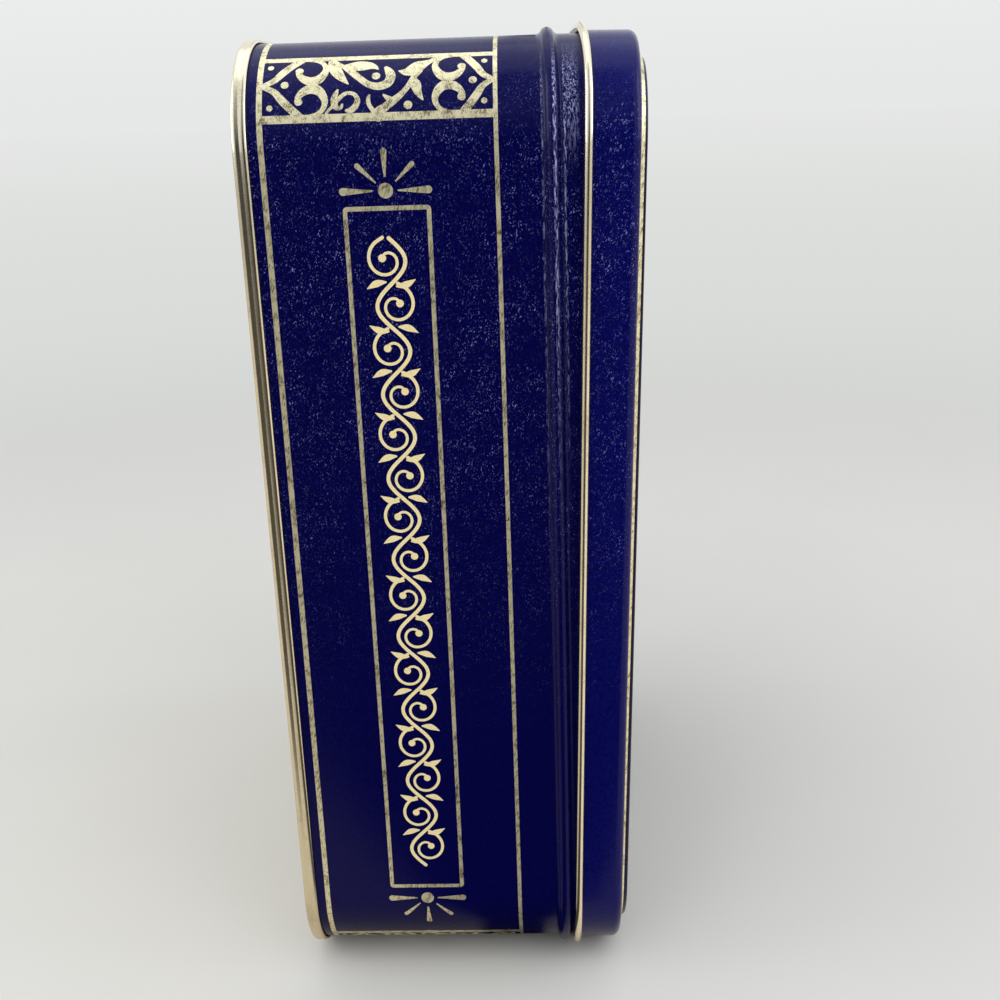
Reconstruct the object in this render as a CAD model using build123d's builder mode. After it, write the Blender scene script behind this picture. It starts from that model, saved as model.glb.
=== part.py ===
from build123d import *
from math import acos, asin, ceil, cos, degrees, sin, sqrt
import os

# A printed tinplate box for sewing things, in millimetres. It stands on one short end: Z runs up its
# length, Y across its width, and X from its base to its lid.

# Body
tin_length = 229.0
tin_width = 165.0
corner_radius = 22.4
sheet = 0.28
mouth_height = 79.5  # rim's foot to the top of the mouth curl
mouth_curl_radius = 0.7

# Stop bead, rolled outwards round the body, which the lid's curl comes down on
bead_drop = 12.2  # top of the mouth curl down to the bead's centre
bead_width = 5.0
bead_height = 1.5

# Double seam round the base: five layers, which are pressed together on the real tin
seam_height = 3.3
seam_gap = 0.15
seam_radius = 0.8  # outside, at the rim's foot
hook_length = 1.5

# Base panel
base_recess = 3.0  # rim's foot to the outside of the panel
base_step = 0.6  # ring round the panel, sunk further in
base_step_inset = 6.0  # body wall to the step
base_bend_radius = 0.9

# Lock seam that joins the ends of the body's sheet, inside the far long side
lock_width = 4.0
lock_thickness = 0.84
lock_end_gap = 1.2  # to the base's sunk ring and to the mouth curl

# Lid
skirt_height = 12.0  # foot of the curl to the top of the ledge
shoulder_radius = 3.0
ledge_width = 5.0  # skirt to the foot of the raised panel
panel_rise = 1.7
panel_slope_run = 0.9
panel_bend_radius = 0.8
lid_curl_radius = 0.95
running_gap = 0.15  # least gap between skirt and body
seat_gap = 0.3  # curl to stop bead
lid_lift = 5.0  # how much further out the lid stands at its top end

bend_error = 0.07  # how far the short flats that stand for a bend may leave it

# Centre lines of the sheet across the seam, measured outwards from the face of the body wall
layer = sheet + seam_gap
wall_line = -sheet / 2
chuck_line = wall_line - layer
base_hook_line = wall_line + layer
body_hook_line = wall_line + 2 * layer
seam_wall_line = wall_line + 3 * layer

# Heights above the rim's foot
bead_centre = mouth_height - bead_drop
seam_foot = sheet / 2
body_hook_turn = seam_foot + 2 * layer
base_hook_turn = seam_height - sheet / 2 - layer
panel_line = base_recess + sheet / 2
ring_line = panel_line + base_step
mouth_turn = mouth_height - mouth_curl_radius

# The lid leans, and its skirt is wider than the body by what the lean takes up
lean = asin(lid_lift / tin_length)
lid_clearance = running_gap + bead_drop / 2 * sin(lean) + tin_length / 2 * (1 - cos(lean))
skirt_line = lid_clearance + sheet / 2

# Pressed home, the lid's curl nests against the crown of the bead
bead_radius = (bead_width**2 / 4 + bead_height**2) / (4 * bead_height)
crown_radius = bead_radius + sheet / 2
curl_out = lid_clearance + lid_curl_radius - (bead_height - crown_radius)
curl_turn = bead_centre + sqrt((crown_radius + seat_gap + lid_curl_radius) ** 2 - curl_out**2)
ledge_line = curl_turn - lid_curl_radius + skirt_height - sheet / 2
raised_line = ledge_line + panel_rise


def in_flats(line):
    """A line with each of its bends cut into a few short flats, for a light mesh."""
    wire = Wire(line.edges())
    points = [wire @ 0]
    reached = 0
    for edge in wire.order_edges():
        flats = 1
        if edge.geom_type == GeomType.CIRCLE:
            flats = ceil(edge.length / edge.radius / (2 * acos(1 - bend_error / edge.radius)))
        for flat in range(flats):
            along = reached + edge.length * (flat + 1) / flats
            points.append(wire.position_at(along, PositionMode.LENGTH))
        reached += edge.length
    return Wire.make_polygon(points, close=False)


def plate(inset, height):
    """The flat middle of the base or the lid, inside the ring that is swept round it."""
    with BuildSketch(Plane.YZ.offset(height - sheet / 2)) as middle:
        RectangleRounded(tin_width - 2 * inset, tin_length - 2 * inset, corner_radius - inset)
    extrude(middle.sketch, amount=sheet)


# The outside of the body wall, seen along X. Each piece is a section of sheet carried round it.
with BuildSketch(Plane.YZ) as body_plan:
    RectangleRounded(tin_width, tin_length, corner_radius)
wall_outline = body_plan.sketch.face().outer_wire()
outline_run = wall_outline % 0
wall_section = Plane(
    origin=wall_outline @ 0,
    x_dir=outline_run.cross(Vector(1, 0, 0)),
    z_dir=-outline_run,
)
lock_section = Plane(origin=(0, tin_width / 2, 0), x_dir=(0, 1, 0), z_dir=(0, 0, -1))

# Body wall: hook, wall, stop bead and mouth curl in one sheet, with its ends locked together
with BuildPart() as body_wall:
    with BuildSketch(wall_section):
        with BuildLine() as fold:
            Line((body_hook_line, body_hook_turn + hook_length), (body_hook_line, body_hook_turn))
            hook_bend = CenterArc((base_hook_line, body_hook_turn), layer, 0, -180)
            low_wall = Line(hook_bend @ 1, (wall_line, bead_centre - bead_width / 2))
            low_foot = TangentArc(
                low_wall @ 1,
                (wall_line + bead_height / 2, bead_centre - bead_width / 4),
                tangent=(0, 1),
            )
            crown = ThreePointArc(
                low_foot @ 1,
                (wall_line + bead_height, bead_centre),
                (wall_line + bead_height / 2, bead_centre + bead_width / 4),
            )
            high_foot = TangentArc(
                crown @ 1, (wall_line, bead_centre + bead_width / 2), tangent=crown % 1
            )
            Line(high_foot @ 1, (wall_line, mouth_turn))
            mouth_bend = mouth_curl_radius - sheet / 2
            CenterArc((wall_line - mouth_bend, mouth_turn), mouth_bend, 0, 270)
        wall_flats = in_flats(fold.line)
        trace(wall_flats, sheet)
    sweep(path=wall_outline)
    lock_foot = ring_line + sheet / 2 + lock_end_gap
    lock_top = mouth_turn - mouth_curl_radius - lock_end_gap
    with BuildSketch(lock_section) as lock_layers:
        trace(wall_flats, sheet + 2 * lock_thickness)
        trace(wall_flats, sheet, mode=Mode.SUBTRACT)
        with Locations((0, (lock_foot + lock_top) / 2)):
            Rectangle(tin_width, lock_top - lock_foot, mode=Mode.INTERSECT)
    extrude(lock_layers.sketch.faces().sort_by(Axis.Y)[0], amount=lock_width / 2, both=True)
body_wall.part.label = "body_wall"

# Base panel: panel, sunk ring, chuck wall, seaming wall and hook in one sheet
with BuildPart() as base_panel:
    panel_reach = base_step_inset + base_step + 2 * sheet
    with BuildSketch(wall_section):
        with BuildLine() as fold:
            FilletPolyline(
                (-panel_reach, panel_line),
                (-base_step_inset - base_step, panel_line),
                (-base_step_inset, ring_line),
                (chuck_line, ring_line),
                (chuck_line, seam_foot),
                (seam_wall_line, seam_foot),
                (seam_wall_line, base_hook_turn),
                radius=[0, 0, base_bend_radius] + 2 * [seam_radius - sheet / 2],
            )
            turned_in = CenterArc((body_hook_line, base_hook_turn), layer, 0, 180)
            Line(turned_in @ 1, (base_hook_line, base_hook_turn - hook_length))
        trace(in_flats(fold.line), sheet)
    sweep(path=wall_outline)
    plate(panel_reach, panel_line)
base_panel.part.label = "base_panel"

# Lid: raised panel, ledge, rounded shoulder, skirt and outward curl in one sheet
with BuildPart() as lid:
    panel_foot = lid_clearance + sheet - ledge_width
    panel_reach = panel_slope_run + 3 * sheet - panel_foot
    with BuildSketch(wall_section):
        with BuildLine() as fold:
            FilletPolyline(
                (-panel_reach, raised_line),
                (panel_foot - panel_slope_run, raised_line),
                (panel_foot, ledge_line),
                (skirt_line, ledge_line),
                (skirt_line, curl_turn),
                radius=2 * [panel_bend_radius] + [shoulder_radius - sheet / 2],
            )
            curl_bend = lid_curl_radius - sheet / 2
            CenterArc((skirt_line + curl_bend, curl_turn), curl_bend, 180, 270)
        trace(in_flats(fold.line), sheet)
    sweep(path=wall_outline)
    plate(panel_reach, raised_line)
lid.part.label = "lid"

# The lid is on crooked: it leans about a line half way between the bead and the mouth
lean_axis = Axis((mouth_height - bead_drop / 2, 0, 0), (0, 1, 0))
lid.part = lid.part.translate((lid_lift / 2, 0, 0)).rotate(lean_axis, degrees(lean))

# The tin stands on its lower end, with the middle of its outline over the origin
outline_box = Compound([body_wall.part, base_panel.part, lid.part]).bounding_box()
stand = Location((-outline_box.center().X, 0, -outline_box.min.Z))

os.makedirs("parts", exist_ok=True)
for piece in (body_wall, base_panel, lid):
    standing = piece.part.moved(stand)
    standing.label = piece.part.label
    export_step(standing, f"parts/{standing.label}.step")
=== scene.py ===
from math import acos, asin, ceil, cos, degrees, hypot, pi, radians, sin, sqrt

import bpy
from mathutils import Matrix, Vector
from mathutils.geometry import delaunay_2d_cdt


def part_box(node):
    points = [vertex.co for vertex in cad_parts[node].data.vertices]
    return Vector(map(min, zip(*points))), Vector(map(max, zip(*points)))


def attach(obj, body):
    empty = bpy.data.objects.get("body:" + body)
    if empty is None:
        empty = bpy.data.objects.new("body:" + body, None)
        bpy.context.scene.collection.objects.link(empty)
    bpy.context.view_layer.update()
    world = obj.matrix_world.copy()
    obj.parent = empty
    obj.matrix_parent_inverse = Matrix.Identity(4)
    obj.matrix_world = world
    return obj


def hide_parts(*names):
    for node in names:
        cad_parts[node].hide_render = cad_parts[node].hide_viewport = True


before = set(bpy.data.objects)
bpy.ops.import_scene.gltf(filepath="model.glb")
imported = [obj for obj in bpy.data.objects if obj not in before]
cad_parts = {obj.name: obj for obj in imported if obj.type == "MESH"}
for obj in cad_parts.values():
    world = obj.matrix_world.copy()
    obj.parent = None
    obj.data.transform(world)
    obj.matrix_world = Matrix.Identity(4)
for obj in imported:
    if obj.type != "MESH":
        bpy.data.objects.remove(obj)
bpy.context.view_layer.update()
print("frame:", sorted(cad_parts))

# Sizes below are in millimetres, and newPiece turns them to metres. A place on the tin is given by
# out, up and along: out from the body wall's face, up from the rim's foot, which is X in the frame,
# and along the outline, from the middle of the near long side up over the top end.
mm = 0.001
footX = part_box("base_panel")[0].x / mm
bodyLow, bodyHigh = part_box("body_wall")
middleZ = (bodyLow.z + bodyHigh.z) / 2 / mm

tin = {
    "length": 229.0,
    "width": 165.0,
    "cornerRadius": 22.4,
    "sheet": 0.28,
    "mouthHeight": 79.5,
    "beadDrop": 12.2,  # from the top of the mouth's curl to the bead's centre
    "cornerSteps": 28,  # stations round each corner
    "flatStep": 7.0,  # most between stations on the flats
    "bendStep": 12.0,  # most degrees between points of a bend
    "crossStep": 6.0,  # most between points across a sheet
    "sharpFrom": 35,  # degrees
}

halfLength, halfWidth, corner = tin["length"] / 2, tin["width"] / 2, tin["cornerRadius"]
longFlat, shortFlat, cornerRun = halfLength - corner, halfWidth - corner, corner * pi / 2
quarter = longFlat + cornerRun + shortFlat
perimeter = 4 * quarter
beadUp = tin["mouthHeight"] - tin["beadDrop"]


# Shapes that all the pieces share
def quarterPlace(along):
    # which quarter of the outline, and how far from the middle of its long side
    side, reach = divmod(along % perimeter, quarter)
    return side, (quarter - reach if side % 2 else reach)


def around(along, out):
    side, reach = quarterPlace(along)
    if reach <= longFlat:
        y, z = halfWidth + out, reach
    elif reach < longFlat + cornerRun:
        turn = (reach - longFlat) / corner
        y = shortFlat + (corner + out) * cos(turn)
        z = longFlat + (corner + out) * sin(turn)
    else:
        y, z = quarter - reach, halfLength + out
    return (y if side in (1, 2) else -y), (z if side in (0, 1) else -z)


def stationsRound():
    # places along the outline, close together round the corners
    marks = [0.0]
    for run, steps in (
        (longFlat, ceil(longFlat / tin["flatStep"])),
        (cornerRun, tin["cornerSteps"]),
        (shortFlat, ceil(shortFlat / tin["flatStep"])),
    ):
        marks += [marks[-1] + run * (step + 1) / steps for step in range(steps)]
    found = []
    for side in range(4):
        if side % 2:
            found += [(side + 1) * quarter - mark for mark in reversed(marks)][:-1]
        else:
            found += [side * quarter + mark for mark in marks[:-1]]
    return found


stations = stationsRound()


def onTin(along, up, out):
    y, z = around(along, out)
    return (footX + up, y, middleZ + z)


def smoothStep(value, low, high):
    share = min(max((value - low) / (high - low), 0.0), 1.0)
    return share * share * (3 - 2 * share)


def endShare(along, start, end):
    # 0 on the long sides, rising to 1 on the short ends; start and end are shares of the corner's run
    return smoothStep((quarterPlace(along)[1] - longFlat) / cornerRun, start, end)


def arc(centre, radius, start, sweep):
    steps = max(2, ceil(abs(sweep) / tin["bendStep"]))
    turns = [radians(start + sweep * step / steps) for step in range(steps + 1)]
    return [(centre[0] + radius * cos(turn), centre[1] + radius * sin(turn)) for turn in turns]


def bentLine(points, bends):
    # a line whose corners are rounded, each with its own radius
    line = [points[0]]
    for before, at, after, radius in zip(points, points[1:], points[2:], bends):
        back = (Vector(before) - Vector(at)).normalized()
        ahead = (Vector(after) - Vector(at)).normalized()
        half = back.angle(ahead) / 2
        centre = Vector(at) + (back + ahead).normalized() * radius / sin(half)
        first = Vector(at) + back * radius * cos(half) / sin(half) - centre
        last = Vector(at) + ahead * radius * cos(half) / sin(half) - centre
        start = degrees(Vector((1, 0)).angle_signed(first)) * -1
        sweep = degrees(first.angle_signed(last)) * -1
        line += arc(centre, radius, start, sweep)
    return line + [points[-1]]


def splitLong(line):
    full = [line[0]]
    for (x, y), (nextX, nextY) in zip(line, line[1:]):
        parts = max(1, ceil(hypot(nextX - x, nextY - y) / tin["crossStep"]))
        for part in range(1, parts + 1):
            full.append((x + (nextX - x) * part / parts, y + (nextY - y) * part / parts))
    return full


def sheetFaces(line, thickness):
    # the two faces of a sheet whose middle runs along the line
    left, right = [], []
    for index, at in enumerate(line):
        before = Vector(line[max(index - 1, 0)])
        after = Vector(line[min(index + 1, len(line) - 1)])
        run = (after - before).normalized()
        inward = Vector((-run.y, run.x)) * thickness / 2
        left.append(tuple(Vector(at) + inward))
        right.append(tuple(Vector(at) - inward))
    return left, right


def newPiece(name, points, faces, materials, faceMaterials=None, matrix=None):
    mesh = bpy.data.meshes.new(name)
    mesh.from_pydata([Vector(point) * mm for point in points], [], faces)
    for material in materials:
        mesh.materials.append(material)
    if faceMaterials:
        mesh.polygons.foreach_set("material_index", faceMaterials)
    if matrix:
        mesh.transform(matrix)
    mesh.polygons.foreach_set("use_smooth", [True] * len(faces))
    mesh.set_sharp_from_angle(angle=radians(tin["sharpFrom"]))
    mesh.update()
    piece = bpy.data.objects.new(name, mesh)
    bpy.context.scene.collection.objects.link(piece)
    return piece


def rowFaces(size, rows, joined=True, closed=True):
    # four-cornered faces between each row of points and the next; joined: the last row meets the first;
    # closed: each row's last point meets its first
    faces = []
    for here in range(rows if joined else rows - 1):
        there = (here + 1) % rows
        for step in range(size if closed else size - 1):
            ahead = (step + 1) % size
            faces.append((here * size + step, here * size + ahead, there * size + ahead, there * size + step))
    return faces


def nowhere(across, up):
    return 0


def sweptSheet(name, line, materials, filled=False, matrix=None, paint=nowhere, sag=nowhere):
    # materials: the sheet's left face, its right face and its cut edge, and then what paint chooses
    # for the left face at a place across the sheet; sag: how much lower a place along it and up is
    left, right = sheetFaces(line, tin["sheet"])
    loop = right + left[::-1]
    size, rows = len(loop), len(stations)
    points = [onTin(along, up - sag(along, up), out) for along in stations for out, up in loop]
    faces, looks = rowFaces(size, rows, closed=not filled), []
    for step, (out, up) in enumerate(loop[:-1] if filled else loop):
        nextOut, nextUp = loop[(step + 1) % size]
        look = 2 if step in (len(right) - 1, size - 1) else int(step < len(right))
        looks.append(look or paint((out + nextOut) / 2, (up + nextUp) / 2))
    looks *= rows
    if filled:
        faces.append([row * size for row in range(rows)])
        faces.append([row * size + size - 1 for row in reversed(range(rows))])
        looks += [1, paint(*loop[-1])]
    return newPiece(name, points, faces, materials, looks, matrix)


def sweptLine(name, loop, material, matrix=None):
    # a closed shape of out and up, drawn all the way round
    points = [onTin(along, up, out) for along in stations for out, up in loop]
    return newPiece(name, points, rowFaces(len(loop), len(stations)), [material], matrix=matrix)


def slab(name, loop, alongs, material):
    # a closed shape of out and up, drawn along part of the outline
    size = len(loop)
    points = [onTin(along, up, out) for along in alongs for out, up in loop]
    ends = [list(range(size))[::-1], [size * (len(alongs) - 1) + step for step in range(size)]]
    return newPiece(name, points, ends + rowFaces(size, len(alongs), joined=False), [material])


# Materials
def newMaterial(name):
    material = bpy.data.materials.new(name)
    material.use_nodes = True
    return material, material.node_tree


def setShader(tree, values):
    # numbers are set on the shader's own sockets, and nodes are linked to them
    for name, value in values.items():
        socket = tree.nodes["Principled BSDF"].inputs[name]
        if isinstance(value, (int, float)):
            socket.default_value = value
        else:
            tree.links.new(value, socket)


def xyzNode(tree, place="Object"):
    where = tree.nodes.new("ShaderNodeTexCoord")
    parts = tree.nodes.new("ShaderNodeSeparateXYZ")
    tree.links.new(where.outputs[place], parts.inputs["Vector"])
    return parts.outputs


def noiseNode(tree, grain, detail, roughness, distortion=0.0, stretch=(1, 1, 1), turn=(0, 0, 0)):
    # grain: size of the noise's marks in millimetres; stretch: how many times longer they are along
    # each axis, once turned
    where = tree.nodes.new("ShaderNodeTexCoord")
    mapping = tree.nodes.new("ShaderNodeMapping")
    mapping.vector_type = "TEXTURE"
    mapping.inputs["Scale"].default_value = stretch
    mapping.inputs["Rotation"].default_value = [radians(angle) for angle in turn]
    tree.links.new(where.outputs["Object"], mapping.inputs["Vector"])
    node = tree.nodes.new("ShaderNodeTexNoise")
    node.inputs["Scale"].default_value = 1 / (grain * mm)
    node.inputs["Detail"].default_value = detail
    node.inputs["Roughness"].default_value = roughness
    node.inputs["Distortion"].default_value = distortion
    tree.links.new(mapping.outputs["Vector"], node.inputs["Vector"])
    return node.outputs["Fac"]


def rampNode(tree, value, stops):
    node = tree.nodes.new("ShaderNodeValToRGB")
    ramp = node.color_ramp
    while len(ramp.elements) < len(stops):
        ramp.elements.new(0.5)
    for element, (place, colour) in zip(ramp.elements, stops):
        element.position = place
        element.color = (*colour, 1) if isinstance(colour, tuple) else (colour, colour, colour, 1)
    tree.links.new(value, node.inputs["Fac"])
    return node.outputs["Color"]


def mathNode(tree, operation, first, second):
    node = tree.nodes.new("ShaderNodeMath")
    node.operation = operation
    for socket, value in zip(node.inputs, (first, second)):
        if isinstance(value, (int, float)):
            socket.default_value = value
        else:
            tree.links.new(value, socket)
    return node.outputs["Value"]


def mixNode(tree, share, first, second):
    node = tree.nodes.new("ShaderNodeMix")
    node.data_type = "RGBA"
    sockets = [socket for socket in node.inputs if socket.enabled]
    for socket, value in zip(sockets, (share, first, second)):
        if isinstance(value, tuple):
            socket.default_value = (*value, 1)
        elif isinstance(value, (int, float)):
            socket.default_value = value
        else:
            tree.links.new(value, socket)
    return [socket for socket in node.outputs if socket.enabled][0]


def spanNode(tree, value, start, end, top=1.0, ease="SMOOTHSTEP"):
    # 0 before the start and top past the end
    node = tree.nodes.new("ShaderNodeMapRange")
    node.interpolation_type = ease
    node.inputs["From Min"].default_value, node.inputs["From Max"].default_value = start, end
    node.inputs["To Max"].default_value = top
    tree.links.new(value, node.inputs["Value"])
    return node.outputs["Result"]


def heightNode(tree, low, high):
    # 0 below one height on the standing tin and 1 above the other
    return spanNode(tree, xyzNode(tree)["Z"], low * mm, high * mm)


def roughNode(tree, value, low, high):
    return rampNode(tree, value, [(0.3, low), (0.7, high)])


def bumpNode(tree, height, depth):
    node = tree.nodes.new("ShaderNodeBump")
    node.inputs["Strength"].default_value = 1.0
    node.inputs["Distance"].default_value = depth * mm
    tree.links.new(height, node.inputs["Height"])
    return node.outputs["Normal"]


# Noises in these dictionaries: size of the marks, detail, roughness, distortion, and then how many
# times longer the marks are along each axis and how far they are turned
enamel = {
    "body": ((0.0004, 0.0004, 0.032), (0.0012, 0.0014, 0.069)),
    "lid": ((0.0008, 0.0012, 0.053), (0.0022, 0.0032, 0.108)),
    "panel": ((0.0004, 0.0004, 0.016), (0.0012, 0.0012, 0.036)),
    "mottle": (0.8, 4.0, 0.65, 0.6),
    "tones": (0.33, 0.68),  # between these of the mottle the first blue turns into the second
    # the scratches' colour: a pale painted glint over real wear
    "scuffGlint": (0.20, 0.215, 0.52),
    # size, length, tilt in degrees, and how high the noise is cut
    "scuffGlints": ((0.32, 2.1, 24, 0.653), (0.24, 1.9, -28, 0.658), (0.50, 1.6, 6, 0.672)),
    "scuffGlintNoise": (1.0, 0.5, 0.4),
    "scuffGlintEdge": 0.10,
    # the scratches and painted glints lie in small groups and in larger ones: noise, and how many there are
    # from low to high
    "clusters": (
        ((2.4, 2.0, 0.6), [(0.40, 0.15), (0.60, 1.0)]),
        ((16.0, 2.0, 0.5), [(0.36, 0.35), (0.62, 1.0)]),
    ),
    "worn": (60.0, 185.0),  # scratches that are partly real wear and partly painted glints: none on the lower part, and all over the upper part, where light from above would catch them
    "scuffGlintTopFade": (232.0, 206.0, 0.25),  # the turned top end has fewer of these scratches and painted glints
    # lines along the bead, partly wear from the lid's curl and partly painted highlights; this is their pale
    # colour
    "rub": (0.50, 0.52, 0.90),
    # distance from the bead's centre, half width, share, and the heights between which it comes on
    "rubsAndHighlights": (
        (-2.6, 0.22, 0.30, (90.0, 215.0)),
        (0.0, 0.32, 0.85, (120.0, 222.0)),
        (2.1, 0.26, 0.60, (120.0, 222.0)),
        (3.6, 1.3, 0.50, (202.0, 220.0)),
    ),
    "rubHighlightEnd": (231.0, 220.0),
    "rubHighlightEdge": (1.5, 0.4),  # half widths between which a line of rubbing and painted highlight fades in
    "rubStreaks": ((0.3, 3.0, 0.65, 0.5, (1, 1, 7)), [(0.48, 0.0), (0.61, 1.0)]),
    "peel": (0.8, 2.0, 0.5, 0.3),
    "peelDepth": 0.008,
    "roughness": (0.14, 0.26),
    "specular": 0.42,
    "ior": 1.28,
}


def beadRubsAndHighlights(tree):
    # streaks along the bead's feet and crest: partly wear from the lid's curl, partly painted highlights
    # where the bead's curves would catch light
    noise, stops = enamel["rubStreaks"]
    streak = rampNode(tree, noiseNode(tree, *noise), stops)
    outer, inner = enamel["rubHighlightEdge"]
    across = xyzNode(tree)["X"]
    found = 0.0
    for reach, half, share, heights in enamel["rubsAndHighlights"]:
        centre = (footX + beadUp + reach) * mm
        away = mathNode(tree, "ABSOLUTE", mathNode(tree, "SUBTRACT", across, centre), 0.0)
        band = spanNode(tree, away, half * outer * mm, half * inner * mm, share)
        mark = mathNode(tree, "MULTIPLY", band, heightNode(tree, *heights))
        found = mathNode(tree, "MAXIMUM", found, mark)
    return mathNode(tree, "MULTIPLY", found, streak)


def mottledBlue(tree, part):
    mottle = noiseNode(tree, *enamel["mottle"])
    return mottle, rampNode(tree, mottle, list(zip(enamel["tones"], enamel[part])))


def blueEnamel(part):
    material, tree = newMaterial(f"blue_enamel_{part}")
    mottle, ground = mottledBlue(tree, part)
    # fine short scratches with painted glints on them, in clusters, more of them higher up where light from
    # above would catch them
    scuffGlints = 0.0
    for grain, length, tilt, cut in enamel["scuffGlints"]:
        streak = noiseNode(tree, grain, *enamel["scuffGlintNoise"], (1, 1, length), (0, tilt, 0))
        mark = rampNode(tree, streak, [(cut, 0.0), (cut + enamel["scuffGlintEdge"], 1.0)])
        scuffGlints = mathNode(tree, "MAXIMUM", scuffGlints, mark)
    start, end, least = enamel["scuffGlintTopFade"]
    amount = mathNode(tree, "MAXIMUM", heightNode(tree, start, end), least)
    amount = mathNode(tree, "MULTIPLY", heightNode(tree, *enamel["worn"]), amount)
    for noise, stops in enamel["clusters"]:
        amount = mathNode(tree, "MULTIPLY", rampNode(tree, noiseNode(tree, *noise), stops), amount)
    colour = mixNode(tree, mathNode(tree, "MULTIPLY", scuffGlints, amount), ground, enamel["scuffGlint"])
    if part == "body":
        # painted highlights and rubbing along the bead, faded out at the top end
        rubbedAndLit = mathNode(tree, "MULTIPLY", beadRubsAndHighlights(tree), heightNode(tree, *enamel["rubHighlightEnd"]))
        colour = mixNode(tree, rubbedAndLit, colour, enamel["rub"])
    setShader(tree, {
        "Base Color": colour,
        "Roughness": roughNode(tree, mottle, *enamel["roughness"]),
        "Specular IOR Level": enamel["specular"],
        "IOR": enamel["ior"],
        "Normal": bumpNode(tree, noiseNode(tree, *enamel["peel"]), enamel["peelDepth"]),
    })
    return material


goldInk = {
    "dark": (0.22, 0.19, 0.11),
    "middle": (0.51, 0.47, 0.30),
    "light": (0.84, 0.795, 0.54),
    "blotch": (2.0, 4.0, 0.62, 0.6),
    "streak": (0.20, 2.0, 0.6, 0.4, (1, 1, 8), (0, 16, 0)),
    "tones": (0.385, 0.445, 0.515),
    "roughness": (0.26, 0.44),
    "metallic": 0.68,
    "grain": (0.5, 3.0, 0.6),
    "depth": 0.02,
}


def goldTones(tree):
    # the ink's colour, blotched where it is thin or worn, and its roughness
    blotch = noiseNode(tree, *goldInk["blotch"])
    streaks = noiseNode(tree, *goldInk["streak"])
    both = mathNode(tree, "MULTIPLY", mathNode(tree, "ADD", blotch, streaks), 0.5)
    stops = list(zip(goldInk["tones"], (goldInk["dark"], goldInk["middle"], goldInk["light"])))
    return rampNode(tree, both, stops), roughNode(tree, blotch, *goldInk["roughness"])


def goldPrint():
    material, tree = newMaterial("gold_print")
    colour, rough = goldTones(tree)
    setShader(tree, {
        "Base Color": colour,
        "Roughness": rough,
        "Metallic": goldInk["metallic"],
        "Normal": bumpNode(tree, noiseNode(tree, *goldInk["grain"]), goldInk["depth"]),
    })
    return material


paleInk = {
    "dark": (0.60, 0.48, 0.23),
    "light": (0.84, 0.73, 0.41),
    "grain": (0.3, 3.0, 0.7, 0.4),
    "tones": (0.34, 0.46),
    "roughness": (0.35, 0.5),
    "specular": 0.3,
    "depth": 0.006,
}


def yellowPrint():
    material, tree = newMaterial("yellow_print")
    grain = noiseNode(tree, *paleInk["grain"])
    setShader(tree, {
        "Base Color": rampNode(tree, grain, list(zip(paleInk["tones"], (paleInk["dark"], paleInk["light"])))),
        "Roughness": roughNode(tree, grain, *paleInk["roughness"]),
        "Specular IOR Level": paleInk["specular"],
        "Normal": bumpNode(tree, grain, paleInk["depth"]),
    })
    return material


lacquer = {
    "dark": (0.58, 0.52, 0.37),
    "light": (0.87, 0.82, 0.64),
    "speck": (0.10, 0.075, 0.045),  # where the lacquer has gone
    "drawn": (0.35, 3.0, 0.65, 0.4),
    "cloud": (14.0, 3.0, 0.6),
    "tones": (0.34, 0.50),
    "specks": ((0.22, 2.0, 0.6, 0.3, (1, 1, 1.6)), [(0.62, 0.0), (0.68, 1.0)]),
    "speckGroups": ((5.0, 3.0, 0.6, 0.0, (1, 1, 3)), [(0.50, 0.0), (0.64, 0.75)]),
    "roughness": [(0.35, 0.27), (0.6, 0.15)],
    "depth": 0.006,
}


def goldLacquer():
    material, tree = newMaterial("gold_lacquer")
    drawn = noiseNode(tree, *lacquer["drawn"])
    cloud = noiseNode(tree, *lacquer["cloud"])
    tone = mathNode(tree, "MULTIPLY", mathNode(tree, "ADD", drawn, cloud), 0.5)
    colour = rampNode(tree, tone, list(zip(lacquer["tones"], (lacquer["dark"], lacquer["light"]))))
    marks = 1.0
    for noise, stops in (lacquer["specks"], lacquer["speckGroups"]):
        marks = mathNode(tree, "MULTIPLY", marks, rampNode(tree, noiseNode(tree, *noise), stops))
    setShader(tree, {
        "Base Color": mixNode(tree, marks, colour, lacquer["speck"]),
        "Roughness": rampNode(tree, tone, lacquer["roughness"]),
        "Metallic": 1.0,
        "Normal": bumpNode(tree, drawn, lacquer["depth"]),
    })
    return material


blue, lidBlue, gold, yellow = blueEnamel("body"), blueEnamel("lid"), goldPrint(), yellowPrint()
tinGold = goldLacquer()
print("materials made")

# Body wall: one sheet, with the stop bead, the mouth's curl and the hook of the seam
bodySizes = {
    "hook": 0.48,  # out to the hook's line
    "hookTurn": 0.76,  # up to the middle of its bend, and to its end
    "hookEnd": 2.26,
    "layer": 0.31,  # the seam's layers are pressed together
    "beadWidth": 5.0,
    "beadHeight": 1.5,
    "beadLower": 0.4,  # how much nearer the base it is than in the solids
    "beadSag": 0.65,  # how much lower the bead runs round the short ends
    "sagShare": (0.15, 0.95),  # shares of the corner's run between which it comes on
    "sagReach": (2.7, 6.0),  # from the bead's centre, where the sag starts to die out and where it ends
    "mouthCurl": 0.7,
    "curlSweep": 300,
    "lockUp": (5.3, 76.6),
    "lockWidth": 4.0,
    "lockThick": 0.84,
    "jointLine": (3.6, beadUp - 4.0, 0.16, 0.03),  # its foot, its top, half its width and its lift
}


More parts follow.
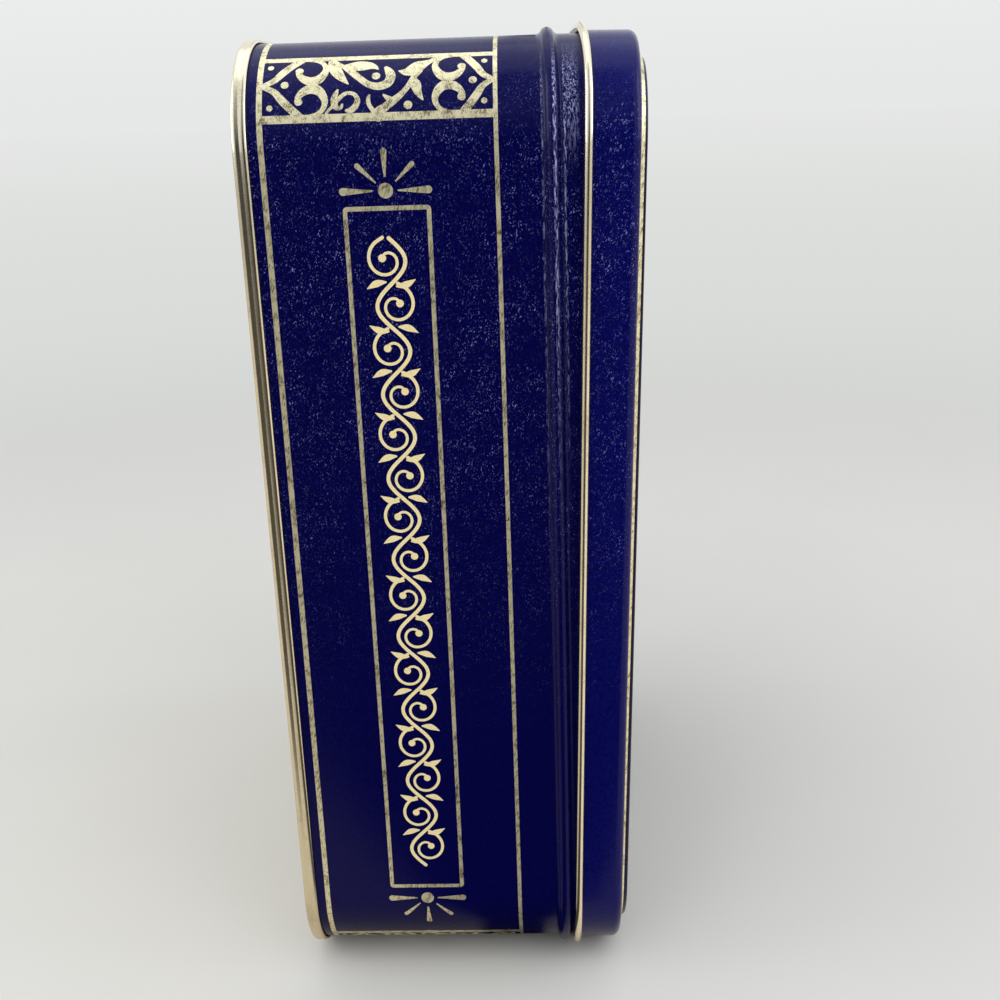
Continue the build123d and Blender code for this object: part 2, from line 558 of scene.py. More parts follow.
def beadLine():
    size, wall = bodySizes, -tin["sheet"] / 2
    width, height, centre = size["beadWidth"], size["beadHeight"], beadUp - size["beadLower"]
    bend = (width**2 / 4 + height**2) / (4 * height)
    rise = degrees(acos(1 - height / 2 / bend))
    line = arc((wall + bend, centre - width / 2), bend, 180, -rise)
    line += arc((wall + height - bend, centre), bend, -rise, 2 * rise)[1:]
    return line + arc((wall + bend, centre + width / 2), bend, 180 + rise, -rise)[1:]


def beadSag(along, up):
    size, reach = bodySizes, abs(up - beadUp + bodySizes["beadLower"])
    return size["beadSag"] * endShare(along, *size["sagShare"]) * (1 - smoothStep(reach, *size["sagReach"]))


def bodyLine():
    size, wall = bodySizes, -tin["sheet"] / 2
    line = [(size["hook"], size["hookEnd"])]
    line += arc((size["hook"] - size["layer"], size["hookTurn"]), size["layer"], 0, -180)
    line += beadLine()
    curl = size["mouthCurl"] + wall
    line += arc((wall - curl, tin["mouthHeight"] - size["mouthCurl"]), curl, 0, size["curlSweep"])
    return splitLong(line)


bodyWall = sweptSheet("bodyWall", bodyLine(), [tinGold, blue, tinGold], sag=beadSag)
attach(bodyWall, "tin")
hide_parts("body_wall")


def lockSeam():
    # the folded ends of the sheet, pressed flat on the inside of the far long side
    size, wall = bodySizes, -tin["sheet"] / 2
    low, high = size["lockUp"]
    line = splitLong([(wall, low)] + beadLine() + [(wall, high)])
    near, _ = sheetFaces(line, tin["sheet"])
    inner, _ = sheetFaces(line, tin["sheet"] + 2 * size["lockThick"])
    middle, half = 2 * quarter, size["lockWidth"] / 2
    strip = slab("lockSeam", near + inner[::-1], (middle - half, middle, middle + half), tinGold)
    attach(strip, "tin")


lockSeam()
print("body wall:", len(bodyWall.data.polygons), "faces")

# Base: one sheet, from the panel through the chuck wall and the rim to its hook
baseSizes = {
    "panel": 3.14,  # up to the panel, and to the ring pressed round it
    "ring": 3.74,
    "stepIn": 6.0,
    "stepRun": 0.6,
    "chuck": -0.45,  # out to the chuck wall
    "foot": 0.14,
    "wall": 0.88,  # out to the rim's wall
    "waist": (0.77, 1.75),  # the rim's wall is drawn in a little between its two ridges
    "bends": (0.5, 0.4, 0.9, 0.5, 0.8, 1.5),  # at the step, the ring, the chuck wall, the foot and the waist
    "hookTurn": 2.50,
    "hookBend": (0.355, 0.66),
    "hookLength": 1.5,
    "reach": 7.16,  # in to where the flat panel starts
}


def baseLine():
    size = baseSizes
    points = [
        (-size["reach"], size["panel"]),
        (-size["stepIn"] - size["stepRun"], size["panel"]),
        (-size["stepIn"], size["ring"]),
        (size["chuck"], size["ring"]),
        (size["chuck"], size["foot"]),
        (size["wall"], size["foot"]),
        size["waist"],
        (size["wall"], size["hookTurn"]),
    ]
    line = bentLine(points, size["bends"])
    reach, rise = size["hookBend"]
    hook = size["wall"] - reach
    line += [(hook + reach * out, size["hookTurn"] + rise * up) for out, up in arc((0, 0), 1, 0, 180)[1:]]
    line.append((hook - reach, size["hookTurn"] - size["hookLength"]))
    return line


basePanel = sweptSheet("basePanel", baseLine(), [tinGold, tinGold, tinGold], filled=True)
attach(basePanel, "tin")
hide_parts("base_panel")
print("base:", len(basePanel.data.polygons), "faces")

# Lid: one sheet, from the raised panel over the ledge and down the skirt to the curl
lidSizes = {
    "lift": 5.0,  # how much further out the lid stands at its top end
    "runningGap": 0.15,
    "seatGap": 0.3,
    "skirtHeight": 12.0,
    "ledgeWidth": 5.0,
    "rise": 1.67,
    "slopeRun": 0.9,
    "curl": 0.932,
    "curlSweep": 305,
    "shoulderBend": 1.95,
    "panelBend": 0.8,
    "reach": 6.5,
    "goldRise": (0.60, 1.10),  # the panel's slope is gold up to here, at the tin's lower and upper end
    "goldBlur": 0.03,
    "goldMetallic": 0.9,
    "roughness": (0.16, 0.28),
    "curlSag": (0.25, 2.0),  # how much lower the curl runs round the lower and the upper end
    "sagShare": (0.25, 1.45),  # shares of the corner's run between which it comes on
    "sagReach": (1.0, 7.0),  # above the curl, where the sag starts to die out and where it ends
}
lidLean = asin(lidSizes["lift"] / tin["length"])
lidClearance = lidSizes["runningGap"] + tin["beadDrop"] / 2 * sin(lidLean) + halfLength * (1 - cos(lidLean))
beadBend = (bodySizes["beadWidth"] ** 2 / 4 + bodySizes["beadHeight"] ** 2) / (4 * bodySizes["beadHeight"])
crown = beadBend + tin["sheet"] / 2
curlOut = lidClearance + lidSizes["curl"] - (bodySizes["beadHeight"] - crown)
curlUp = beadUp + sqrt((crown + lidSizes["seatGap"] + lidSizes["curl"]) ** 2 - curlOut**2)
ledgeUp = curlUp - lidSizes["curl"] + lidSizes["skirtHeight"] - tin["sheet"] / 2
raisedUp = ledgeUp + lidSizes["rise"]
slopeFoot = lidClearance + tin["sheet"] - lidSizes["ledgeWidth"]


def lidLine():
    size = lidSizes
    skirt = lidClearance + tin["sheet"] / 2
    points = [
        (-size["reach"], raisedUp),
        (slopeFoot - size["slopeRun"], raisedUp),
        (slopeFoot, ledgeUp),
        (skirt, ledgeUp),
        (skirt, curlUp),
    ]
    line = bentLine(points, [size["panelBend"], size["panelBend"], size["shoulderBend"]])
    bend = size["curl"] - tin["sheet"] / 2
    return splitLong(line) + arc((skirt + bend, curlUp), bend, 180, size["curlSweep"])[1:]


def lidPaint(out, up):
    # the skirt and ledge have the lid's enamel, and the panel has its own
    return 0 if out > slopeFoot + 0.1 else 3


def curlSag(along, up):
    lower, upper = lidSizes["curlSag"]
    sag = (upper if along % perimeter < 2 * quarter else lower) * endShare(along, *lidSizes["sagShare"])
    return sag * (1 - smoothStep(up - curlUp, *lidSizes["sagReach"]))


def panelPaint(lidBack):
    # deep blue on top, with the foot of its slope left gold
    material, tree = newMaterial("panel_enamel")
    mottle, ground = mottledBlue(tree, "panel")
    worn, shine = goldTones(tree)
    where = tree.nodes.new("ShaderNodeTexCoord")
    low, high = lidSizes["goldRise"]
    steep = (high - low) / tin["length"]
    # height over the ledge in the lid's own frame, less the gold's height there
    level = footX + ledgeUp + tin["sheet"] / 2 + (low + high) / 2 - steep * middleZ
    slant = tree.nodes.new("ShaderNodeVectorMath")
    slant.operation = "DOT_PRODUCT"
    slant.inputs[1].default_value = [lidBack[0][axis] - steep * lidBack[2][axis] for axis in range(3)]
    tree.links.new(where.outputs["Object"], slant.inputs[0])
    offset, blur = level * mm - lidBack[0][3] + steep * lidBack[2][3], lidSizes["goldBlur"] * mm
    share = spanNode(tree, slant.outputs["Value"], offset - blur, offset + blur, ease="LINEAR")
    setShader(tree, {
        "Base Color": mixNode(tree, share, worn, ground),
        "Metallic": rampNode(tree, share, [(0.0, lidSizes["goldMetallic"]), (1.0, 0.0)]),
        "Roughness": mixNode(tree, share, shine, roughNode(tree, mottle, *lidSizes["roughness"])),
        "Specular IOR Level": enamel["specular"],
        "IOR": enamel["ior"],
        "Normal": bumpNode(tree, mottle, enamel["peelDepth"]),
    })
    return material


pivot = Vector((footX + tin["mouthHeight"] - tin["beadDrop"] / 2, 0, middleZ)) * mm
lidPlace = (
    Matrix.Translation(pivot)
    @ Matrix.Rotation(lidLean, 4, "Y")
    @ Matrix.Translation(-pivot)
    @ Matrix.Translation((lidSizes["lift"] / 2 * mm, 0, 0))
)
lid = sweptSheet(
    "lidShell",
    lidLine(),
    [lidBlue, tinGold, tinGold, panelPaint(lidPlace.inverted())],
    filled=True,
    matrix=lidPlace,
    paint=lidPaint,
    sag=curlSag,
)
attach(lid, "lid")
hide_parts("lid")
print("lid:", len(lid.data.polygons), "faces")

# Print: thin ink in gold and yellow, laid on the enamel
ink = {
    "lift": 0.022,
    "lineLift": 0.024,  # the long lines lie over the bands
    "depth": 0.05,
    "bandCut": 1.0,  # most along the outline between points, so that the print lies on the wall
    "starCut": 3.0,
    "panelCut": 4.0,
    "curveParts": 6,
    "thinnest": 0.08,
    "roundFrom": 0.4,  # wider strokes end in a half circle
}


def smoothed(points):
    # a smooth line through points of up, along and width
    ends, line = [points[0], *points, points[-1]], []
    for four in zip(ends, ends[1:], ends[2:], ends[3:]):
        for part in range(ink["curveParts"]):
            t, spot = part / ink["curveParts"], []
            for a, b, c, d in zip(*four):
                bend = (2 * a - 5 * b + 4 * c - d) * t**2 + (3 * b - a - 3 * c + d) * t**3
                spot.append((2 * b + (c - a) * t + bend) / 2)
            line.append(tuple(spot))
    return line + [points[-1]]


def dot(up, along, radius, sides=20):
    turns = [2 * pi * side / sides for side in range(sides)]
    return [[(up + radius * cos(turn), along + radius * sin(turn)) for turn in turns]]


def stroke(points, smooth=True):
    # pieces that overlap along a line whose width changes
    line = smoothed(points) if smooth else points
    rails = []
    for index, (up, along, width) in enumerate(line):
        before, after = line[max(index - 1, 0)], line[min(index + 1, len(line) - 1)]
        run = Vector((after[0] - before[0], after[1] - before[1])).normalized()
        aside = Vector((-run.y, run.x)) * max(width, ink["thinnest"]) / 2
        rails.append(((up + aside.x, along + aside.y), (up - aside.x, along - aside.y)))
    shapes = []
    for (left, right), (nextLeft, nextRight) in zip(rails, rails[1:]):
        shapes += [[left, right, nextRight], [left, nextRight, nextLeft]]
    for up, along, width in (line[0], line[-1]):
        if width > ink["roundFrom"]:
            shapes += dot(up, along, width / 2, 14)
    return shapes


def bar(lowUp, highUp, lowAlong, highAlong):
    return [[(lowUp, lowAlong), (highUp, lowAlong), (highUp, highAlong), (lowUp, highAlong)]]


def placed(shapes, up, along, flip=1):
    return [[(up + point[0], along + flip * point[1]) for point in shape] for shape in shapes]


def turning(shape):
    return sum(a[0] * b[1] - b[0] * a[1] for a, b in zip(shape, shape[1:] + shape[:1]))


def inkPiece(name, shapes, material, cut=None, place=onTin, matrix=None):
    # joins the shapes into one flat outline, cuts it across, and makes a thin sheet of ink from it
    points, outlines, cuts = [], [], []
    for shape in shapes:
        area = turning(shape)
        if abs(area) < 1e-6:
            continue
        outlines.append(list(range(len(points), len(points) + len(shape))))
        points += shape if area > 0 else shape[::-1]
    ups, alongs = [point[0] for point in points], [point[1] for point in points]
    for index in range(1, ceil((max(alongs) - min(alongs)) / cut) if cut else 1):
        cuts.append((len(points), len(points) + 1))
        points += [(end, min(alongs) + index * cut) for end in (min(ups) - 1, max(ups) + 1)]
    spots, _, triangles, _, _, owners = delaunay_2d_cdt(
        [Vector(point) for point in points], cuts, outlines, 0, 1e-5
    )
    kept = [triangle for triangle, owner in zip(triangles, owners) if owner]
    used = sorted({spot for triangle in kept for spot in triangle})
    order = {spot: index for index, spot in enumerate(used)}
    top = [place(spots[spot].y, spots[spot].x, ink["lift"]) for spot in used]
    bottom = [place(spots[spot].y, spots[spot].x, -ink["depth"]) for spot in used]
    faces = [[order[spot] for spot in triangle] for triangle in kept]
    edges = [edge for face in faces for edge in zip(face, face[1:] + face[:1])]
    size, paired = len(used), {(b, a) for a, b in edges}
    sides = [(b, a, a + size, b + size) for a, b in edges if (a, b) not in paired]
    under = [[index + size for index in reversed(face)] for face in faces]
    return newPiece(name, top + bottom, faces + under + sides, [material], matrix=matrix)


layout = {
    "shift": -4.0,  # the whole print sits low on the near side, and as much high on the far side
    "lineUp": (6.0, 55.2),
    "lineWidth": (1.23, 0.93),
    "bandUp": 30.6,
    "bandAt": 110.2,
    "panelUp": (22.75, 40.55),
    "panelHalf": 84.2,
    "panelLine": 0.95,
    "panelBend": 0.45,
    "starAt": 87.8,
    "starUp": 31.6,
}


# The band's ornament, in up, along and width, from the middle of the band
bandSizes = {
    "bars": ((-24.6, 24.6, -8.3, -6.6), (-24.6, 24.6, 6.7, 8.1)),
    "ends": ((1, -24.2, -13.7, 8.0), (-1, 24.2, 15.0, 6.2)),  # facing, apex, middle of the curls, reach
    "arm": [(0.3, 0.1, 1.1), (2.7, 1.4, 1.4), (4.4, 3.4, 1.7), (6.3, 5.4, 1.7), (8.0, 7.1, 1.9)],
    "curl": [
        (-2.75, 3.6, 1.3), (-2.7, 2.8, 1.25), (-1.8, 1.7, 1.7), (-0.4, 1.0, 2.1), (1.1, 1.15, 2.2),
        (2.3, 2.3, 1.8), (2.9, 4.0, 1.3), (2.4, 5.6, 1.05), (1.2, 6.6, 0.95), (-0.4, 7.05, 0.9),
    ],
    "curlDot": (2.65, 3.75, 0.86),
    "dots": [
        (-22.5, 5.0, 0.65), (-19.3, 0.2, 0.85), (-22.4, -5.0, 0.65), (22.4, 5.1, 0.65), (20.0, 0.0, 0.85),
        (22.3, -4.8, 0.65), (-0.2, 1.8, 0.9), (6.5, -5.2, 0.9),
    ],
}
bandLines = {
    "leaf": [
        (-9.5, 7.0, 1.6), (-9.4, 6.0, 2.1), (-9.0, 4.3, 2.6), (-8.0, 2.4, 2.2), (-6.9, 1.0, 1.2),
        (-5.9, -0.1, 0.2),
    ],
    "hook": [
        (-9.9, 7.0, 1.2), (-8.6, 5.9, 1.0), (-7.2, 4.75, 1.0), (-5.6, 3.3, 1.5), (-3.6, 1.3, 1.5),
        (-1.8, -0.2, 1.5), (0.3, -0.8, 1.8), (2.2, -0.1, 2.0), (2.9, 1.5, 2.0), (2.5, 2.9, 1.8),
        (1.9, 3.9, 1.0),
    ],
    "upperLeaf": [
        (-7.0, 4.8, 0.9), (-5.0, 4.7, 2.5), (-3.2, 4.8, 2.8), (-1.5, 4.7, 2.0), (-0.4, 4.2, 1.1),
        (0.3, 3.5, 0.2),
    ],
    "tail": [(-10.6, -6.6, 0.6), (-9.9, -5.6, 0.6), (-8.9, -4.9, 0.8)],
    "bud": [
        (-8.1, -1.2, 0.3), (-8.5, -2.2, 1.0), (-8.9, -3.4, 1.3), (-8.8, -4.6, 1.4), (-8.3, -5.4, 1.0),
        (-7.5, -5.3, 0.8), (-7.2, -4.7, 0.5),
    ],
    "crook": [
        (-8.5, -4.1, 0.9), (-7.4, -2.9, 0.9), (-6.3, -2.2, 0.85), (-5.0, -2.3, 0.85), (-4.2, -3.1, 0.95),
        (-4.0, -4.2, 1.15), (-4.6, -5.3, 1.3), (-5.5, -6.0, 1.2), (-6.3, -6.0, 0.7),
    ],
    "sprig": [(-1.5, -2.6, 0.4), (-1.75, -3.6, 0.8), (-1.6, -4.8, 0.9), (-0.9, -6.0, 0.9), (-0.2, -7.0, 1.0)],
    "thorn": [(1.3, -2.7, 0.3), (2.1, -3.4, 1.0), (3.2, -4.2, 1.5)],
    "vine": [
        (0.4, -7.0, 3.0), (0.6, -6.4, 2.3), (2.0, -5.3, 1.7), (3.6, -4.1, 1.6), (5.0, -2.9, 1.3),
        (6.2, -1.5, 1.15), (7.1, 0.0, 1.2), (7.9, 1.5, 1.3), (8.8, 2.9, 1.5),
    ],
    "lowLeaf": [(7.6, 0.9, 1.0), (8.1, -0.6, 2.2), (8.5, -2.2, 1.7), (9.1, -3.4, 1.0), (9.7, -4.3, 0.2)],
    "bigLeaf": [
        (4.7, 2.9, 0.5), (6.0, 2.6, 1.9), (7.4, 3.1, 2.9), (8.8, 4.2, 2.9), (10.2, 5.0, 1.7),
        (11.3, 5.7, 1.1), (12.4, 6.7, 0.9),
    ],
}


def scrollEnd(side, apex, hole, reach):
    # a chevron against the long line, with a pair of scrolls inside it
    size, shapes = bandSizes, []
    out, aside, radius = size["curlDot"]
    full = size["arm"][-1][0]
    for half in (1, -1):
        arm = [(apex + side * up * reach / full, half * along, width) for up, along, width in size["arm"]]
        curl = [(hole + side * up, half * along, width) for up, along, width in size["curl"]]
        shapes += stroke(arm) + stroke(curl) + dot(hole - side * out, half * aside, radius)
    return shapes


def bandShapes():
    shapes = []
    for edges in bandSizes["bars"]:
        shapes += bar(*edges)
    for end in bandSizes["ends"]:
        shapes += scrollEnd(*end)
    for spot in bandSizes["dots"]:
        shapes += dot(*spot)
    for line in bandLines.values():
        shapes += stroke(line)
    return shapes


starSizes = {
    "hub": 1.6,
    # each ray's tip and butt: up, along and width
    "rays": [
        ((-2.6, 0.0, 0.3), (-9.05, 0.0, 1.6)),
        ((2.6, 0.0, 0.3), (9.05, 0.0, 1.6)),
        ((0.0, 2.8, 0.4), (0.0, 8.0, 1.35)),
        ((-1.95, 1.6, 0.3), (-5.7, 5.15, 1.15)),
        ((2.2, 1.85, 0.3), (5.8, 5.3, 1.1)),
    ],
}


def starShapes():
    # half a sunburst, whose rays point away from the panel
    shapes = dot(0, 0, starSizes["hub"], 24)
    for tip, butt in starSizes["rays"]:
        middle = tuple((a + b) / 2 for a, b in zip(tip, butt))
        shapes += stroke([tip, middle, butt])
    return shapes


def panelShapes():
    low, high = layout["panelUp"]
    half, line, bend = layout["panelHalf"], layout["panelLine"], layout["panelBend"]
    shapes = []
    for up in (low, high):
        shapes += bar(up - line / 2, up + line / 2, -half + bend, half - bend)
    for along in (-half, half):
        shapes += bar(low + bend, high - bend, along - line / 2, along + line / 2)
    for up, along, start in ((high, half, 0), (low, half, 90), (low, -half, 180), (high, -half, 270)):
        centre = (up - bend if up == high else up + bend, along - bend if along > 0 else along + bend)
        shapes += stroke([(*point, line) for point in arc(centre, bend, start, 90)], smooth=False)
    return shapes


vineSizes = {
    "waves": 8,
    "half": 78.0,
    "swing": 3.3,
    "stem": 0.85,
    "bendSteps": 6,
    "curl": (0.75, 0.25),  # width, and the share that it loses by its end
    "curlSteps": 14,
    "curlShift": (0.7, 0.2),  # across and along, from the middle of its bend
    "curlFlat": 0.98,  # how much less wide than long it is
    "curlTurn": (8, 415),  # degrees: where a curl starts, and how far it winds
    "curlIn": (0.78, 0.8),  # how far in it winds, and how soon
    "berry": 0.85,
    "leaf": ((1.0, -0.5, 0.3), (3.2, -0.2, 1.5), (5.3, 0.9, 0.1)),  # across, along and width
}


def vineShapes():
    # a running vine, with a curl inside each bend and a pair of leaves between
    size = vineSizes
    middle, start, bends = sum(layout["panelUp"]) / 2, size["half"], size["waves"] * 2
    bendRun, steps = size["half"] / size["waves"], size["bendSteps"]
    stem = []
    for step in range(bends * steps + 1):
        up = middle + size["swing"] * sin(pi * step / steps)
        stem.append((up, start - step * bendRun / steps, size["stem"]))
    shapes = stroke(stem)
    (first, sweep), (inward, haste), (width, loss) = size["curlTurn"], size["curlIn"], size["curl"]
    for index in range(bends):
        side = -1 if index % 2 else 1
        up = middle - side * size["curlShift"][0]
        along = start - (index + 0.5) * bendRun + size["curlShift"][1]
        curl = []
        for step in range(size["curlSteps"] + 1):
            share = step / size["curlSteps"]
            turn = radians(first + sweep * share)
            reach = bendRun / 2 * (1 - inward * share**haste)
            across = side * reach * sin(turn) * size["curlFlat"]
            curl.append((up - across, along + reach * cos(turn), width * (1 - loss * share)))
        shapes += stroke(curl)
        shapes += dot(curl[-1][0], curl[-1][1], size["berry"], 16)
    for index in range(1, bends):
        side = 1 if index % 2 else -1
        along = start - index * bendRun
        for way in (1, -1):
            leaf = [(middle + way * out, along + way * side * run, wide) for out, run, wide in size["leaf"]]
            shapes += stroke(leaf)
    return shapes


def rideTin(piece):
    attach(piece, "tin")


def lineLoop(low, high, lift):
    # the section of a line on the body wall
    return [(lift, low), (lift, high), (-ink["depth"], high), (-ink["depth"], low)]


def printSide(name, centre):
    middle = centre + layout["shift"]
    for end, way in (("Top", 1), ("Foot", -1)):
        bandPlace = middle + way * layout["bandAt"]
        bandShape = placed(band, layout["bandUp"], bandPlace, way)
        rideTin(inkPiece(f"{name}Band{end}", bandShape, gold, ink["bandCut"]))
        starPlace = middle + way * layout["starAt"]
        starShape = placed(star, layout["starUp"], starPlace, way)
        rideTin(inkPiece(f"{name}Star{end}", starShape, gold, ink["starCut"]))
    rideTin(inkPiece(f"{name}Panel", placed(panelShapes(), 0, middle), gold, ink["panelCut"]))
    rideTin(inkPiece(f"{name}Vine", placed(vineShapes(), 0, middle), yellow, ink["panelCut"]))


def onPanel(along, up, out):
    # a place on the lid's raised panel, across and along from its middle
    return (footX + raisedUp + tin["sheet"] / 2 + out, up, middleZ + along)


panelTop = {
    "lines": ((3.6, 1.1), (5.4, 0.35)),  # in from the panel's edge, and width
    "rays": 16,
    "hub": 4.2,
    "ray": (6.6, (17.5, 12.5), (0.3, 1.61, 2.3)),  # from, to for long and short rays, and widths
    "ring": (20.5, 0.7),
    "cornerIn": 17.5,
    "curl": [
        (0.0, 0.0, 2.0), (-3.2, -0.6, 1.7), (-6.6, 0.4, 1.4), (-8.6, 3.0, 1.2), (-7.4, 5.6, 1.1),
        (-4.8, 5.4, 1.4),
    ],
    "curlDot": 1.15,
    "cornerDot": (2.2, 0.9),
}


def rosetteShapes():
    # a sunburst in a ring
    size = panelTop
    shapes = dot(0, 0, size["hub"], 40)
    start, ends, widths = size["ray"]
    for ray in range(size["rays"]):
        turn, end = 2 * pi * ray / size["rays"], ends[ray % 2]
        line = zip((start, (start + end) / 2, end), widths)
        shapes += stroke([(reach * cos(turn), reach * sin(turn), wide) for reach, wide in line])
    radius, wide = size["ring"]
    ring = [2 * pi * step / 72 for step in range(73)]
    return shapes + stroke([(radius * cos(turn), radius * sin(turn), wide) for turn in ring], smooth=False)


def cornerShapes(way, flip):
    # a pair of scrolls in each corner of the panel
    u, v = halfWidth - panelTop["cornerIn"], halfLength - panelTop["cornerIn"]
    shift, radius = panelTop["cornerDot"]
    shapes = dot(way * (u + shift), flip * (v + shift), radius)
    for a, b in ((0, 1), (1, 0)):
        line = [(way * (u + point[a]), flip * (v + point[b]), point[2]) for point in panelTop["curl"]]
        shapes += stroke(line) + dot(*line[-1][:2], panelTop["curlDot"])
    return shapes


def rideLid(piece):
    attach(piece, "lid")


def printPanel():
    edge = slopeFoot - lidSizes["slopeRun"]
    top = raisedUp + tin["sheet"] / 2
    for number, (inset, width) in enumerate(panelTop["lines"], 1):
        near, far = edge - inset + width / 2, edge - inset - width / 2
        low, high = top - ink["depth"], top + ink["lift"]
        loop = [(near, low), (near, high), (far, high), (far, low)]
        rideLid(sweptLine(f"panelLine{number}", loop, gold, lidPlace))
    rideLid(inkPiece("panelStar", rosetteShapes(), gold, place=onPanel, matrix=lidPlace))
    shapes = [shape for way in (1, -1) for flip in (1, -1) for shape in cornerShapes(way, flip)]
    rideLid(inkPiece("panelScrolls", shapes, gold, place=onPanel, matrix=lidPlace))


band, star = bandShapes(), starShapes()
printSide("near", 0.0)
printSide("far", 2 * quarter)
for number, (up, width) in enumerate(zip(layout["lineUp"], layout["lineWidth"]), 1):
    loop = lineLoop(up - width / 2, up + width / 2, ink["lineLift"])
    rideTin(sweptLine(f"longLine{number}", loop, gold))
printPanel()
# the fine line that the lock seam leaves on the outside
low, high, half, lift = bodySizes["jointLine"]
rideTin(slab("seamLine", lineLoop(low, high, lift), [2 * quarter - half, 2 * quarter + half], tinGold))
print("print laid on")

# Camera, floor and light
view = {
    "place": (19.36, -342.4, 217.18),
    "yaw": -2.107,
    "pitch": -18.235,
    "roll": -1.91,
    "lens": 43.347,
    "sensor": 36,
    "clip": 0.01,
}

room = {
    "floor": (0.505, 0.505, 0.492),
    "floorCloud": ((60.0, 3.0, 0.5), 1.02),  # noise, and how much paler it makes the floor
    "floorShine": (0.7, 0.2),  # roughness and specular level
    # what the tin sees of the floor: dark in front, so that its enamel stays deep, and pale at the sides
    "ahead": (0.026, 0.021, 0.017),
    "left": ((-0.45, -0.80), (0.42, 0.37, 0.30)),
    "right": ((0.40, 0.62), (0.58, 0.52, 0.44)),
    "from": (0.01, -0.07, 0.015),  # the place they are seen from, in metres, and the least distance
    "fade": (0.22, 0.8),  # metres from the tin over which the floor turns into the backdrop
    "backdrop": (
        (0.25, (0.60, 0.61, 0.588)),
        (0.41, (0.70, 0.715, 0.695)),
        (0.66, (0.765, 0.775, 0.765)),
        (1.0, (0.795, 0.805, 0.80)),
    ),
    "sky": (0.10, (0.835, 0.845, 0.845)),
    "depth": 20.0,  # metres out to the backdrop's brightest part
    "floorHalf": 30000.0,
    "above": (0.0, 0.75),  # the room's light: dark in front, paler above and at the sides
    "skyLight": 0.27,
    "dark": 0.02,
    "sideLight": ((0.40, 0.60, 1.0), (-0.26, -0.46, 0.90)),
}


def makeCamera():
    yaw, pitch, roll = (radians(view[turn]) for turn in ("yaw", "pitch", "roll"))
    ahead = Vector((sin(yaw) * cos(pitch), cos(yaw) * cos(pitch), sin(pitch)))
    right = Vector((cos(yaw), -sin(yaw), 0))
    up = right.cross(ahead)
    across = right * cos(roll) + up * sin(roll)
    above = up * cos(roll) - right * sin(roll)
    data = bpy.data.cameras.new("camera")
    data.sensor_width = view["sensor"]
    data.lens = view["lens"]
    data.clip_start = view["clip"]
    camera = bpy.data.objects.new("camera", data)
    camera.matrix_world = Matrix.Translation(Vector(view["place"]) * mm) @ Matrix(
        (across, above, -ahead)
    ).transposed().to_4x4()
    bpy.context.scene.collection.objects.link(camera)
    bpy.context.scene.camera = camera


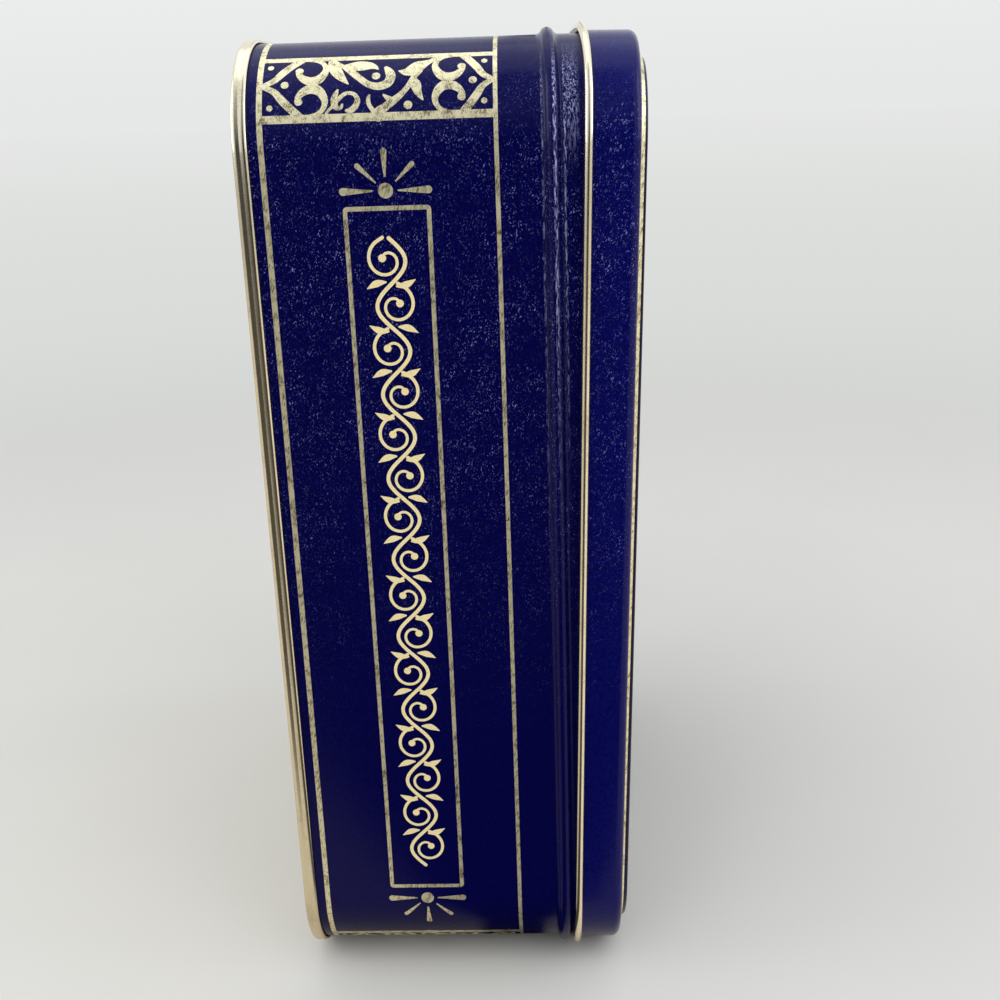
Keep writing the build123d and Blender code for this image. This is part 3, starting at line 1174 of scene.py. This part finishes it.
def makeFloor():
    material, tree = newMaterial("pale_floor")
    noise, paler = room["floorCloud"]
    tones = [(0.3, room["floor"]), (0.7, tuple(part * paler for part in room["floor"]))]
    pale = rampNode(tree, noiseNode(tree, *noise), tones)
    seen = tree.nodes.new("ShaderNodeLightPath")
    parts = xyzNode(tree)
    fromX, fromY, least = room["from"]
    ahead = mathNode(tree, "MAXIMUM", mathNode(tree, "SUBTRACT", fromY, parts["Y"]), least)
    slant = mathNode(tree, "DIVIDE", mathNode(tree, "SUBTRACT", parts["X"], fromX), ahead)
    reflected = room["ahead"]
    for side in ("left", "right"):
        (start, end), tone = room[side]
        reflected = mixNode(tree, spanNode(tree, slant, start, end), reflected, tone)
    colour = mixNode(tree, seen.outputs["Is Camera Ray"], reflected, pale)
    rough, specular = room["floorShine"]
    setShader(tree, {"Base Color": colour, "Roughness": rough, "Specular IOR Level": specular})
    # far away the floor fades into the backdrop
    where = tree.nodes.new("ShaderNodeTexCoord")
    length = tree.nodes.new("ShaderNodeVectorMath")
    length.operation = "LENGTH"
    tree.links.new(where.outputs["Object"], length.inputs[0])
    fade = spanNode(tree, length.outputs["Value"], *room["fade"])
    share = mathNode(tree, "MULTIPLY", fade, seen.outputs["Is Camera Ray"])
    backdrop = tree.nodes.new("ShaderNodeEmission")
    away = mathNode(tree, "POWER", mathNode(tree, "DIVIDE", length.outputs["Value"], room["depth"]), 0.3)
    tree.links.new(rampNode(tree, away, room["backdrop"]), backdrop.inputs["Color"])
    mix = tree.nodes.new("ShaderNodeMixShader")
    tree.links.new(share, mix.inputs["Fac"])
    tree.links.new(tree.nodes["Principled BSDF"].outputs["BSDF"], mix.inputs[1])
    tree.links.new(backdrop.outputs["Emission"], mix.inputs[2])
    tree.links.new(mix.outputs["Shader"], tree.nodes["Material Output"].inputs["Surface"])
    half = room["floorHalf"]
    corners = [(-half, -half, 0), (half, -half, 0), (half, half, 0), (-half, half, 0)]
    newPiece("floor", corners, [(0, 1, 2, 3)], [material])


def makeWorld():
    world = bpy.data.worlds.new("world")
    world.use_nodes = True
    tree = world.node_tree
    parts = xyzNode(tree, "Generated")
    ahead = mathNode(tree, "MAXIMUM", mathNode(tree, "MULTIPLY", parts["Y"], -1.0), 0.05)
    slant = mathNode(tree, "DIVIDE", parts["X"], ahead)
    light = spanNode(tree, parts["Z"], *room["above"], room["skyLight"])
    for start, end, top in room["sideLight"]:
        light = mathNode(tree, "MAXIMUM", light, spanNode(tree, slant, start, end, top))
    light = rampNode(tree, light, [(0.0, room["dark"]), (1.0, 1.0)])
    seen = tree.nodes.new("ShaderNodeLightPath")
    height, pale = room["sky"]
    sky = mixNode(tree, spanNode(tree, parts["Z"], 0.0, height), room["backdrop"][-1][1], pale)
    colour = mixNode(tree, seen.outputs["Is Camera Ray"], light, sky)
    tree.links.new(colour, tree.nodes["Background"].inputs["Color"])
    bpy.context.scene.world = world


lamps = {
    # place, height aimed at, size, power in watts, and whether the tin mirrors it
    "topLight": ((0.0, 0.25, 1.3), 0.1, (1.2, 1.0), 2, True),
    "frontLight": ((0.1, -0.9, 1.1), 0.12, (2.2, 1.2), 15, False),
    "leftLight": ((-1.2, -0.2, 0.7), 0.12, (0.7, 1.0), 5, True),
    "rightLight": ((1.2, -0.1, 0.7), 0.12, (0.7, 1.0), 4, True),
}


def addLight(name, place, target, size, power, mirrored):
    data = bpy.data.lights.new(name, "AREA")
    data.shape = "RECTANGLE"
    data.size, data.size_y = size
    data.energy = power
    lamp = bpy.data.objects.new(name, data)
    lamp.location = place
    lamp.rotation_euler = (Vector(target) - Vector(place)).to_track_quat("-Z", "Y").to_euler()
    lamp.visible_glossy = mirrored
    bpy.context.scene.collection.objects.link(lamp)


makeCamera()
makeFloor()
makeWorld()
for name, (place, aim, size, power, mirrored) in lamps.items():
    addLight(name, place, (0, 0, aim), size, power, mirrored)
bpy.context.scene.view_settings.view_transform = "Standard"
print("camera, floor and light placed")
